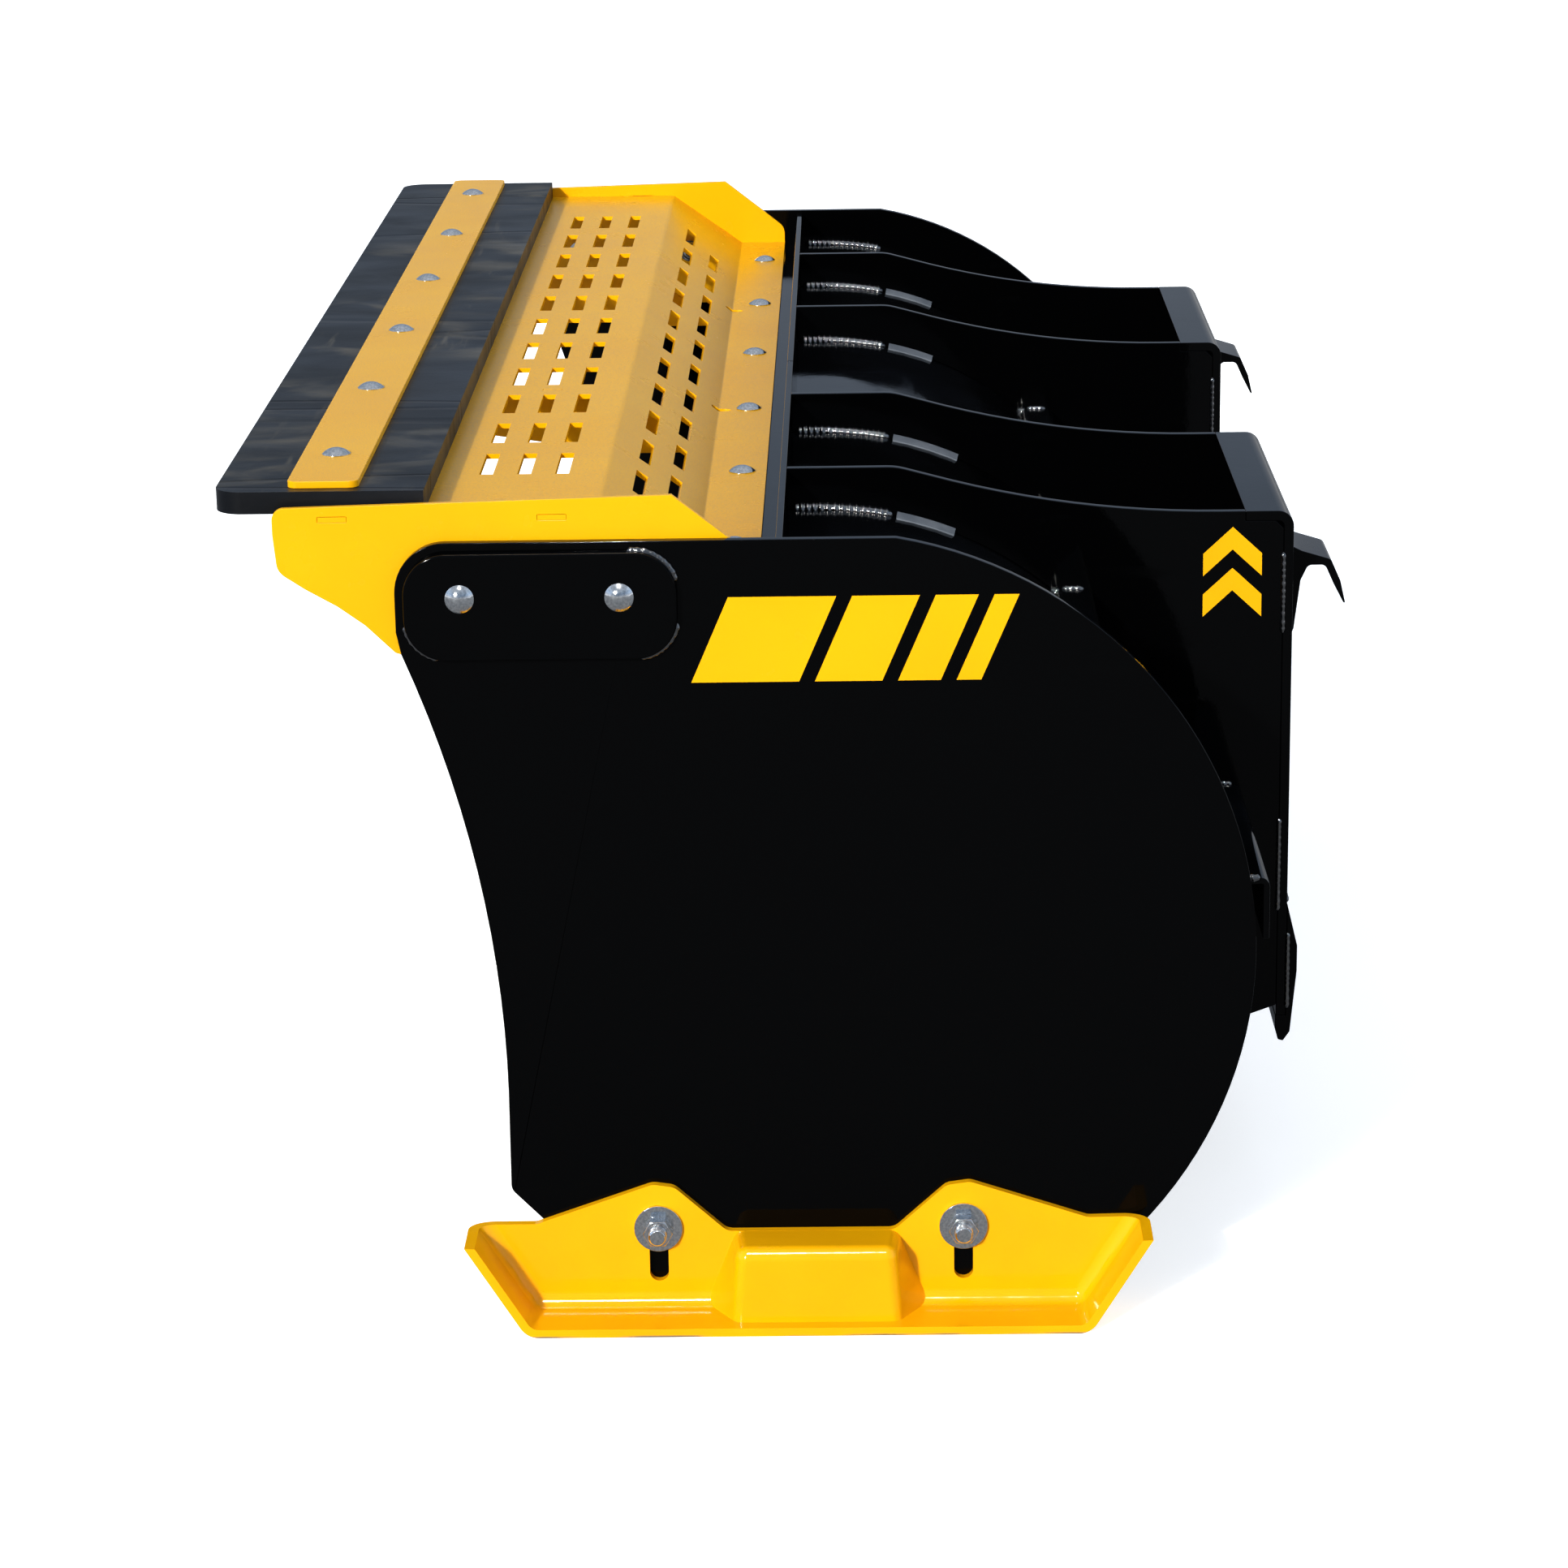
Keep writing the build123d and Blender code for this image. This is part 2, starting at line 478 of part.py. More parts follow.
with BuildPart() as shoe_left:
    with BuildSketch(side(SHOE_X)) as tray:
        with BuildLine():
            Polyline((SOLE_FRONT, 0), (SOLE_REAR, 0), (SOLE_REAR + RAMP_RUN * RAMP_RISE, RAMP_RISE),
                     (SOLE_FRONT - RAMP_RUN * RAMP_RISE, RAMP_RISE), close=True)
        make_face()
        fillet(tray.vertices().group_by(Axis.Y)[0], 20)
    extrude(amount=SHOE_DEPTH)
    back = shoe_left.faces().sort_by(Axis.X)[0]
    bends = back.edges().filter_by(lambda e: e.center().Z < RAMP_RISE - 1)
    fillet(bends, 21)
    mouths = shoe_left.faces().filter_by(
        lambda f: f.center().X > SHOE_LIP_X - 1 or f.center().Z > RAMP_RISE - 1)
    offset(amount=-SHOE_T, openings=mouths)
    with BuildSketch(side(SHOE_X - 1)) as above_ears:
        with BuildLine():
            Polyline((-330, 91), (-236, 88), (-190, 88), (-82, 126), (-62, 123), (-14, BUMP_TOP),
                     (140, BUMP_TOP), (188, 123), (210, 126), (318, 90), (378, 91), (440, 95),
                     (440, 200), (-330, 200), close=True)
        make_face()
        ears = above_ears.vertices().filter_by(lambda v: 84 < v.Y < 130 and -195 < v.X < 330)
        fillet(ears, 14)
        fillet(above_ears.vertices().filter_by(lambda v: abs(v.Y - BUMP_TOP) < 1), 14)
    extrude(amount=2 * SHOE_DEPTH, mode=Mode.SUBTRACT)
    add(bump(0, BUMP_ROUND))
    add(bump(SHOE_T, BUMP_ROUND - SHOE_T), mode=Mode.SUBTRACT)
    with BuildSketch(side(SHOE_X)):
        with Locations(*[(y, SHOE_BOLT_Z - SHOE_TRAVEL / 2) for y in SHOE_BOLTS_Y]):
            SlotOverall(SHOE_TRAVEL + 2 * SHOE_SLOT_R, 2 * SHOE_SLOT_R, rotation=90)
    extrude(amount=SHOE_T, mode=Mode.SUBTRACT)
save_pair(shoe_left.part, "shoe")

# ---- fasteners ----------------------------------------------------------------------
NECK_OVER = 0.3           # the square neck is this much wider than the shank
HEAD_EDGE = 0.8           # upright rim below the domed head


def carriage_bolt(shank, head_d, head_h, neck, length):
    """Round-head bolt with a square neck: the head's seat is z = 0, the shank runs down."""
    crown = head_h - HEAD_EDGE
    dome_r = (head_d**2 / 4 + crown**2) / (2 * crown)
    with BuildPart() as bolt:
        with BuildSketch(Plane.XZ):
            with BuildLine():
                Line((0, 0), (head_d / 2, 0))
                Line((head_d / 2, 0), (head_d / 2, HEAD_EDGE))
                RadiusArc((head_d / 2, HEAD_EDGE), (0, head_h), -dome_r)
                Line((0, head_h), (0, 0))
            make_face()
        revolve(axis=Axis.Z)
        with BuildSketch(Plane.XY):
            Rectangle(shank + NECK_OVER, shank + NECK_OVER)
        extrude(amount=-neck)
        with BuildSketch(Plane.XY.offset(-neck)):
            Circle(shank / 2)
        extrude(amount=-(length - neck))
        chamfer(bolt.faces().sort_by(Axis.Z)[0].edges(), 1.2)
    return bolt.part


def washer(shank, outer_d, thick):
    with BuildPart() as ring:
        with BuildSketch():
            Circle(outer_d / 2)
            Circle(shank / 2 + 0.4, mode=Mode.SUBTRACT)
        extrude(amount=thick)
    return ring.part


def hex_nut(shank, flats, thick):
    with BuildPart() as nut:
        with BuildSketch():
            RegularPolygon(flats / 2, 6, major_radius=False)
        extrude(amount=thick)
        with BuildSketch(Plane.XZ):
            with BuildLine():
                Polyline((0, -1), (flats * 0.49, -1), (flats * 0.49, 0), (flats * 0.6, 1.8),
                         (flats * 0.6, thick - 1.8), (flats * 0.49, thick), (flats * 0.49, thick + 1),
                         (0, thick + 1), close=True)
            make_face()
        revolve(axis=Axis.Z, mode=Mode.INTERSECT)
        with BuildSketch():
            Circle(shank / 2 + RUN)
        extrude(amount=thick, mode=Mode.SUBTRACT)
    return nut.part


def save_row(piece, planes, name):
    """Write copies of one fastener, seated on the given planes, as one node."""
    with BuildPart() as row:
        with Locations(*planes):
            add(piece)
    save(row.part, name)


def save_stack(name, bolt, washer_piece, nut_piece, heads, grip, washer_t):
    """Write the bolts of a joint, and the washers and nuts on the far side of its grip."""
    save_row(bolt, heads, f"{name}_bolts")
    far = []
    for head in heads:
        far.append(Plane(origin=head.origin - head.z_dir * grip, x_dir=head.x_dir, z_dir=-head.z_dir))
    save_row(washer_piece, far, f"{name}_washers")
    save_row(nut_piece, [plane.offset(washer_t) for plane in far], f"{name}_nuts")


WASHER_T, NUT_T = 2.5, 11.1
HEAD_D, HEAD_H = 26.0, 6.4
NECK_PLAY = 0.3           # the neck is this much shorter than its hole
TAIL = WASHER_T + NUT_T + 4.0    # washer, nut and the thread that shows past it
HALF_WASHER = washer(IN_HALF, 27.0, WASHER_T)
HALF_NUT = hex_nut(IN_HALF, 19.05, NUT_T)


def half_inch_stack(name, heads, neck_plate, grip):
    """Half-inch round-head bolts through a grip whose first plate holds the square necks."""
    bolt = carriage_bolt(IN_HALF, HEAD_D, HEAD_H, neck_plate - NECK_PLAY, grip + TAIL)
    save_stack(name, bolt, HALF_WASHER, HALF_NUT, heads, grip, WASHER_T)


half_inch_stack("drag_bar", [seat(x, BAR_Y, BAR_TOP, (0, 0, 1)) for x in BOLT_ROW_X],
                BAR_T, BAR_T + RUBBER_T + PANEL_T)
half_inch_stack("flange", [seat(x, 0, FLANGE_TOP, (0, 0, 1)) for x in BOLT_ROW_X],
                PANEL_T, PANEL_T + SHEET_T)
clamp_line = on_slope(CLAMP_MIDDLE, EDGE_T + CLAMP_T)
half_inch_stack("edge", [seat(x, *clamp_line, (0, *TO_FRONT)) for x in BOLT_ROW_X],
                CLAMP_T, CLAMP_T + EDGE_T + SHEET_T + CLAMP_T)
half_inch_stack("cheek", [seat(s * (END_OUT + DOUBLER_T), y, z, (s, 0, 0)) for s in (1, -1)
                          for y, z in CHEEK_BOLTS],
                DOUBLER_T, DOUBLER_T + END_T + CHEEK_T)

SHOE_WASHER_T, SHOE_NUT_T = 3.2, 13.9
SHOE_TAIL = SHOE_WASHER_T + SHOE_NUT_T + 9.0
shoe_grip = END_T + SHOE_GAP + SHOE_T + SHOE_GAP
save_stack("shoe", carriage_bolt(IN_FIVE_EIGHTHS, 33, 8, END_T - 0.4, shoe_grip + SHOE_TAIL),
           washer(IN_FIVE_EIGHTHS, 44.5, SHOE_WASHER_T), hex_nut(IN_FIVE_EIGHTHS, 23.8, SHOE_NUT_T),
           [seat(s * END_IN, y, SHOE_BOLT_Z, (-s, 0, 0)) for s in (1, -1) for y in SHOE_BOLTS_Y],
           shoe_grip, SHOE_WASHER_T)
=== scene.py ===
"""Looks of a six-foot snow pusher with its back-drag kit: paint, rubber, zinc, weld beads and marks.

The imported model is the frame. Lengths are metres: +X is the operator's left, +Y the loader, +Z up.
"""
import json
import math

import bmesh
import bpy
from mathutils import Matrix, Vector, noise


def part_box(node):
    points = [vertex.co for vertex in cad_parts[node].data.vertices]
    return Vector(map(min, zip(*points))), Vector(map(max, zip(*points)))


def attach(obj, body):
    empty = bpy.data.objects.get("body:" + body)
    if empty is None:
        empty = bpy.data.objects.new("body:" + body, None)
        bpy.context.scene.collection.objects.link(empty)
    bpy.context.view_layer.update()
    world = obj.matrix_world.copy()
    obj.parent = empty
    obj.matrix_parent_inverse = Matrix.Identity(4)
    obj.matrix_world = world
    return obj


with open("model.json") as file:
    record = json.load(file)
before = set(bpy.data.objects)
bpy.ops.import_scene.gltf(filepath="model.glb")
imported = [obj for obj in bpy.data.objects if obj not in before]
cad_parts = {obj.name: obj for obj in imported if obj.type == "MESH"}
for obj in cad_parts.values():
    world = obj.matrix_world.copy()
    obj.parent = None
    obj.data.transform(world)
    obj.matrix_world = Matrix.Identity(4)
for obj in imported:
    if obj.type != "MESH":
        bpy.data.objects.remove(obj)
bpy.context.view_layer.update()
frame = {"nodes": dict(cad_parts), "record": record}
nodes = frame["nodes"]
MM = 0.001

# ---- places read off the frame ------------------------------------------------------
mold_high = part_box("moldboard")[1]
end_low, end_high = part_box("end_plate_left")
rail_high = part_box("top_rail")[1]
attach_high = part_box("quick_attach_left")[1]
doubler_low, doubler_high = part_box("doubler_left")
END_IN, END_OUT = end_low.x, end_high.x
BACK_R = 344 * MM             # rear arc of the moldboard
SHEET = 6 * MM                # moldboard
ATTACH_T = 9.5 * MM           # quick-attach plates
ARC_Y, ARC_Z = mold_high.y - BACK_R, mold_high.z - BACK_R
LEDGE_TOP = mold_high.z
RIBS = ("rib_outer_left", "rib_inner_left", "rib_inner_right", "rib_outer_right")


def arc(radius, start, end, step=1.0):
    """(y, z) points along a rear arc between two angles above level, in degrees."""
    count = max(2, round(abs(end - start) / step))
    turns = [math.radians(start + (end - start) * i / count) for i in range(count + 1)]
    return [(ARC_Y + radius * math.cos(a), ARC_Z + radius * math.sin(a)) for a in turns]


# ---- materials ----------------------------------------------------------------------
class Look:
    """A node material with its shader, and short ways to build patterns in object space."""

    def __init__(self, name, **sockets):
        self.material = bpy.data.materials.new(name)
        self.material.use_nodes = True
        self.tree = self.material.node_tree
        self.shader = self.tree.nodes["Principled BSDF"]
        for socket, value in sockets.items():
            self.shader.inputs[socket.replace("_", " ")].default_value = value
        self.coords = self.node("ShaderNodeTexCoord").outputs["Object"]
        self.height = None

    def node(self, kind, **settings):
        made = self.tree.nodes.new(kind)
        for key, value in settings.items():
            setattr(made, key, value)
        return made

    def link(self, source, target):
        self.tree.links.new(source, target)

    def noise(self, scale, detail=4.0, stretch=(1, 1, 1), distort=0.0):
        """Noise from 0 to 1, scale waves in a metre, drawn out along axes where stretch is small."""
        mapping = self.node("ShaderNodeMapping")
        mapping.inputs["Scale"].default_value = stretch
        self.link(self.coords, mapping.inputs["Vector"])
        made = self.node("ShaderNodeTexNoise")
        made.inputs["Scale"].default_value = scale
        made.inputs["Detail"].default_value = detail
        made.inputs["Distortion"].default_value = distort
        self.link(mapping.outputs["Vector"], made.inputs["Vector"])
        return made.outputs["Fac"]

    def remap(self, source, low, high, to_low=0.0, to_high=1.0):
        made = self.node("ShaderNodeMapRange", interpolation_type="SMOOTHSTEP")
        for socket, value in (("From Min", low), ("From Max", high), ("To Min", to_low), ("To Max", to_high)):
            made.inputs[socket].default_value = value
        self.link(source, made.inputs["Value"])
        return made.outputs["Result"]

    def math(self, operation, a, b):
        made = self.node("ShaderNodeMath", operation=operation)
        for socket, value in zip(made.inputs, (a, b)):
            if isinstance(value, (int, float)):
                socket.default_value = value
            else:
                self.link(value, socket)
        return made.outputs["Value"]

    def mix(self, factor, a, b):
        """Colour a where factor is 0, and b where it is 1."""
        made = self.node("ShaderNodeMix", data_type="RGBA")
        self.link(factor, made.inputs["Factor"])
        for socket, value in ((made.inputs[6], a), (made.inputs[7], b)):
            if isinstance(value, tuple):
                socket.default_value = (*value, 1)
            else:
                self.link(value, socket)
        return made.outputs[2]

    def facing_up(self, low=0.3, high=0.95):
        """1 on faces that look up, where dust and frost settle; on the yellow paint it also places a painted
        sky sheen.
        """
        split = self.node("ShaderNodeSeparateXYZ")
        self.link(self.node("ShaderNodeNewGeometry").outputs["Normal"], split.inputs["Vector"])
        return self.remap(split.outputs["Z"], low, high)

    def bump(self, height, distance, strength=1.0):
        """Adds a height pattern, on top of those added before it."""
        made = self.node("ShaderNodeBump")
        made.inputs["Strength"].default_value = strength
        made.inputs["Distance"].default_value = distance
        self.link(height, made.inputs["Height"])
        if self.height is not None:
            self.link(self.height, made.inputs["Normal"])
        self.height = made.outputs["Normal"]
        self.link(self.height, self.shader.inputs["Normal"])

    def colour(self, source):
        self.link(source, self.shader.inputs["Base Color"])

    def rough(self, source):
        self.link(source, self.shader.inputs["Roughness"])


def black_paint():
    look = Look("black_paint", IOR=1.25)
    clean, dusty = (0.0010, 0.0011, 0.0013), (0.006, 0.007, 0.009)
    cloud = look.remap(look.noise(5, 6), 0.35, 0.75)
    look.colour(look.mix(look.math("MULTIPLY", cloud, look.facing_up()), clean, dusty))
    scuffs = look.remap(look.noise(9, 8, (1, 0.5, 7), 0.6), 0.56, 0.72, 0.0, 0.10)
    haze = look.remap(look.noise(14, 5), 0.3, 0.7, 0.03, 0.08)
    look.rough(look.math("ADD", haze, scuffs))
    look.bump(look.noise(95, 2), 0.10 * MM, 0.35)
    look.bump(look.noise(700, 1), 0.02 * MM, 0.3)
    return look.material


def bead_paint():
    """Wet-looking paint over ripples and spatter, which catches small bright glints."""
    look = Look("bead_black", IOR=2.5)
    tone = look.remap(look.noise(180, 4), 0.35, 0.65)
    look.colour(look.mix(tone, (0.0010, 0.0011, 0.0014), (0.004, 0.0045, 0.006)))
    look.rough(look.remap(look.noise(260, 3), 0.35, 0.65, 0.08, 0.16))
    look.bump(look.noise(170, 2), 0.25 * MM, 0.4)
    return look.material


def painted_reflection_strip():
    """Bluish grey for flat strips in the corners beside the beads, a painted reflection of the sky."""
    look = Look("painted_reflection_strip", IOR=1.4)
    look.colour(look.mix(look.remap(look.noise(40, 5), 0.3, 0.7), (0.10, 0.115, 0.135), (0.15, 0.165, 0.185)))
    look.rough(look.remap(look.noise(60, 4), 0.3, 0.7, 0.40, 0.60))
    look.bump(look.noise(130, 3), 0.3 * MM, 0.5)
    return look.material


def yellow_paint(name, base, deep):
    look = Look(name, IOR=1.33)
    tone = look.mix(look.remap(look.noise(7, 6), 0.3, 0.7), base, deep)
    # Speckled dust on up-facing faces, which also darkens and dulls the tops as a painted sky sheen.
    grain = look.remap(look.noise(700, 8), 0.42, 0.72, 0.0, 0.38)
    up_facing_tint = look.math("MULTIPLY", grain, look.facing_up(0.5))
    look.colour(look.mix(up_facing_tint, tone, (0.36, 0.25, 0.075)))
    grime = look.remap(look.noise(30, 9), 0.45, 0.75, 0.0, 0.02)
    look.rough(look.math("ADD", look.remap(look.noise(12, 3), 0.3, 0.7, 0.24, 0.27), grime))
    look.bump(look.noise(120, 2), 0.05 * MM, 0.25)
    look.bump(look.noise(900, 2), 0.03 * MM, 0.6)
    return look.material


def shoe_paint():
    look = Look("shoe_paint", IOR=1.45)
    cloud = look.remap(look.noise(9, 6), 0.3, 0.7)
    tone = look.mix(cloud, (0.87, 0.440, 0.002), (0.83, 0.405, 0.002))
    split = look.node("ShaderNodeSeparateXYZ")
    look.link(look.coords, split.inputs["Vector"])
    low = look.remap(split.outputs["Z"], 0.0, 2.5 * MM, 1.0, 0.0)
    scraped = look.math("MULTIPLY", low, look.remap(look.noise(60, 8, (1, 0.15, 1)), 0.42, 0.62))
    look.colour(look.mix(scraped, tone, (0.30, 0.29, 0.27)))
    look.link(scraped, look.shader.inputs["Metallic"])
    look.rough(look.math("ADD", look.remap(look.noise(30, 5), 0.3, 0.7, 0.08, 0.16),
                         look.math("MULTIPLY", scraped, 0.25)))
    look.bump(look.noise(60, 2), 0.30 * MM, 0.5)
    return look.material


def edge_rubber():
    look = Look("edge_rubber", IOR=1.36)
    blue = look.mix(look.remap(look.noise(10, 6, (1, 0.4, 1), 0.4), 0.36, 0.68),
                    (0.0014, 0.0021, 0.0036), (0.009, 0.0115, 0.0165))
    patches = look.remap(look.noise(4, 4, (1, 0.6, 1)), 0.44, 0.62)
    smears = look.remap(look.noise(16, 11, (0.8, 0.5, 1), 0.8), 0.48, 0.74)
    drags = look.remap(look.noise(70, 12, (0.10, 1, 1), 0.1), 0.58, 0.74, 0.0, 0.6)
    worn = look.math("MULTIPLY", look.math("MAXIMUM", smears, drags), patches)
    up_facing_tint = look.math("MULTIPLY", worn, look.facing_up(0.2))
    look.colour(look.mix(up_facing_tint, blue, (0.110, 0.094, 0.066)))
    look.rough(look.remap(look.noise(12, 8, (1, 0.6, 1), 0.6), 0.3, 0.7, 0.36, 0.46))
    seams = look.math("ABSOLUTE", look.math("SUBTRACT", look.noise(4.4, 2, (1, 0.10, 0.10)), 0.5), 0.0)
    look.bump(look.remap(seams, 0.0, 0.012), 1.2 * MM, 0.8)
    look.bump(look.noise(240, 5), 0.25 * MM, 0.5)
    look.bump(smears, 0.3 * MM, 0.25)
    return look.material


def zinc():
    look = Look("zinc_plate", Metallic=1.0)
    spangle = look.remap(look.noise(420, 4), 0.3, 0.7)
    look.colour(look.mix(spangle, (0.74, 0.76, 0.78), (0.50, 0.52, 0.54)))
    look.rough(look.remap(look.noise(240, 5), 0.3, 0.7, 0.07, 0.16))
    look.bump(look.noise(300, 2), 0.05 * MM, 0.4)
    return look.material


def floor_finish():
    """Pale studio floor, lit a little from within, that throws back only a soft grey light."""
    look = Look("pale_floor", Roughness=0.9, IOR=1.3)
    rays = look.node("ShaderNodeLightPath").outputs
    seen = rays["Is Camera Ray"]
    bounced = look.mix(rays["Is Glossy Ray"], (0.48, 0.475, 0.47), (0.26, 0.26, 0.26))
    pale = look.mix(look.noise(0.6, 3), (0.90, 0.90, 0.89), (0.93, 0.93, 0.925))
    look.colour(look.mix(seen, bounced, pale))
    look.shader.inputs["Emission Color"].default_value = (1, 1, 1, 1)
    look.link(look.math("MULTIPLY", seen, 0.50), look.shader.inputs["Emission Strength"])
    return look.material


MATERIALS = {
    "frame_black": black_paint(),
    "kit_yellow": yellow_paint("kit_yellow_paint", (0.86, 0.445, 0.002), (0.83, 0.415, 0.002)),
    "shoe_yellow": shoe_paint(),
    "edge_rubber": edge_rubber(),
    "zinc_hardware": zinc(),
}
# Paint for the weld beads, and bluish grey for strips that are a painted reflection of the sky.
BEAD_PAINT, REFLECTION_PAINT = bead_paint(), painted_reflection_strip()

# ---- carried nodes: paint, and edges rounded as paint leaves them --------------------
EDGE_ROUND = {"frame_black": 0.9 * MM, "kit_yellow": 0.6 * MM, "shoe_yellow": 1.2 * MM,
              "edge_rubber": 1.6 * MM, "zinc_hardware": 0.3 * MM}
SHARP = {"drag_panel"}        # thin sheet with many slots keeps its cut edges
FACET_ANGLE, CORNER_ANGLE = math.radians(0.5), math.radians(40)
SMALL_FACE = 2e-4             # m2; on shoes and their hardware, larger faces shade flat up to their bends


def clear_normals(obj):
    bpy.context.view_layer.objects.active = obj
    if obj.data.has_custom_normals:
        bpy.ops.mesh.customdata_custom_splitnormals_clear()
    obj.data.shade_smooth()


def round_edges(obj, width):
    """Joins the node's facets, then rolls its sharp edges over by width."""
    clear_normals(obj)
    weld = obj.modifiers.new("weld", "WELD")
    weld.merge_threshold = 0.01 * MM
    flat = obj.modifiers.new("flat", "DECIMATE")
    flat.decimate_type = "DISSOLVE"
    flat.angle_limit = FACET_ANGLE
    bevel = obj.modifiers.new("bevel", "BEVEL")
    bevel.limit_method = "ANGLE"
    bevel.angle_limit = CORNER_ANGLE
    bevel.width = width
    bevel.segments = 2
    bevel.miter_outer = "MITER_ARC"
    bevel.harden_normals = True
    normals = obj.modifiers.new("normals", "WEIGHTED_NORMAL")
    normals.weight = 80
    if obj.name.startswith("shoe_"):
        normals.weight, normals.thresh = 100, SMALL_FACE


for part in frame["record"]["subparts"]:
    node = nodes[part["node"]]
    node.data.materials.clear()
    node.data.materials.append(MATERIALS[part["material_slot"]])
    if part["node"] not in SHARP:
        round_edges(node, EDGE_ROUND[part["material_slot"]])

# ---- welds --------------------------------------------------------------------------
X, Y, Z = Vector((1, 0, 0)), Vector((0, 1, 0)), Vector((0, 0, 1))
RIPPLE = 6.2 * MM             # spacing of the ripples on a bead
STEP = 1.1 * MM               # spacing of the rings that a bead is made of
RING = 14                     # points round a bead
CURVE_END = 78                # degrees above level where the beads beside the ledge stop
STITCHES = ((50, 39), (26, 14), (-3, -14))    # short welds further down, in degrees
REFLECTION_STRIP_ENDS = (68, 66, 69, 68)                # where each rib's painted reflection strip stops, in degrees


def skin_rings(rings):
    """Vertices and faces of a closed tube through rings of points."""
    count = len(rings[0])
    verts = [point for ring in rings for point in ring]
    faces = [tuple(range(count))[::-1]]
    for row in range(len(rings) - 1):
        for i in range(count):
            j = (i + 1) % count
            faces.append((row * count + i, row * count + j, (row + 1) * count + j, (row + 1) * count + i))
    last = (len(rings) - 1) * count
    faces.append(tuple(range(last, last + count)))
    return verts, faces


def add_piece(name, parts, slot, body="pusher", smooth=True, finish=None):
    """One mesh object from several (vertices, faces) lists, with its slot's material or a finish."""
    verts, faces = [], []
    for part_verts, part_faces in parts:
        start = len(verts)
        verts += [tuple(v) for v in part_verts]
        faces += [tuple(i + start for i in f) for f in part_faces]
    mesh = bpy.data.meshes.new(name)
    mesh.from_pydata(verts, [], faces)
    mesh.validate()
    mesh.materials.append(finish or MATERIALS[slot])
    if smooth:
        mesh.shade_smooth()
    piece = bpy.data.objects.new(name, mesh)
    bpy.context.scene.collection.objects.link(piece)
    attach(piece, body)
    return piece


def run(start, end):
    """Evenly spaced points along a straight weld."""
    count = max(3, round((end - start).length / STEP))
    return [start.lerp(end, i / count) for i in range(count + 1)]


def bead(points, outs, size, seed=0.0):
    """A rippled weld bead through points; outs point out of the corner that it fills."""
    rings, along = [], 0.0
    total = sum((b - a).length for a, b in zip(points, points[1:]))
    for i, (point, out) in enumerate(zip(points, outs)):
        before, after = points[max(i - 1, 0)], points[min(i + 1, len(points) - 1)]
        tangent = (after - before).normalized()
        across = tangent.cross(out).normalized()
        if i:
            along += (point - points[i - 1]).length
        end = min(along, total - along) / (1.3 * size)
        taper = math.sqrt(max(0.03, 1 - (1 - min(end, 1)) ** 2))
        wander = noise.noise(Vector((along / (7 * size), seed, 0)))
        ring = []
        for k in range(RING):
            turn = 2 * math.pi * k / RING
            phase = 2 * math.pi * along / RIPPLE + 1.4 * math.cos(turn) + 2.0 * wander
            swell = 1 + 0.09 * math.cos(phase + 2.0 * wander) + 0.14 * wander
            swell += 0.04 * noise.noise(Vector((along / (1.2 * size), 2 * turn, seed)))
            reach = size * taper * swell
            ring.append(point + reach * (math.cos(turn) * out + math.sin(turn) * across))
        rings.append(ring)
    return skin_rings(rings)


def straight_bead(start, end, out, size, seed=0.0):
    points = run(Vector(start), Vector(end))
    return bead(points, [out.normalized()] * len(points), size, seed)


def arc_bead(x, radius, start, end, lean, away, size):
    """A bead along a rear arc; lean is its share along X, away is 1 outside the arc and -1 inside."""
    step = math.degrees(STEP / radius)
    points, outs = [], []
    for i, (y, z) in enumerate(arc(radius, start, end, step)):
        radial = Vector((0, y - ARC_Y, z - ARC_Z)).normalized()
        points.append(Vector((x, y, z)))
        outs.append((away * radial + lean * X).normalized())
    return bead(points, outs, size, x)


def frame_faces():
    """(x, side) of every plate face that stands on the moldboard; side is where the face looks."""
    faces = []
    for name in RIBS:
        low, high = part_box(name)
        faces += [(low.x, -1), (high.x, 1)]
    return faces + [(END_IN, -1), (-END_IN, 1)]


def painted_reflection_run(x, end):
    """Flat-faced strip between a rib and the moldboard, from just below the bead's end; its grey is a painted
    reflection of the sky.
    """
    wide, high, sink = 13 * MM, 5 * MM, 1 * MM
    rings = []
    for y, z in arc(BACK_R, CURVE_END - 0.5, end):
        radial = Vector((0, y - ARC_Y, z - ARC_Z)).normalized()
        foot = Vector((x, y, z)) - sink * radial
        rings.append([foot, foot + wide * X, foot + (wide - 2 * MM) * X + 2 * sink * radial,
                      foot + 1 * MM * X + (sink + high) * radial, foot + (sink + high) * radial])
    return skin_rings(rings)


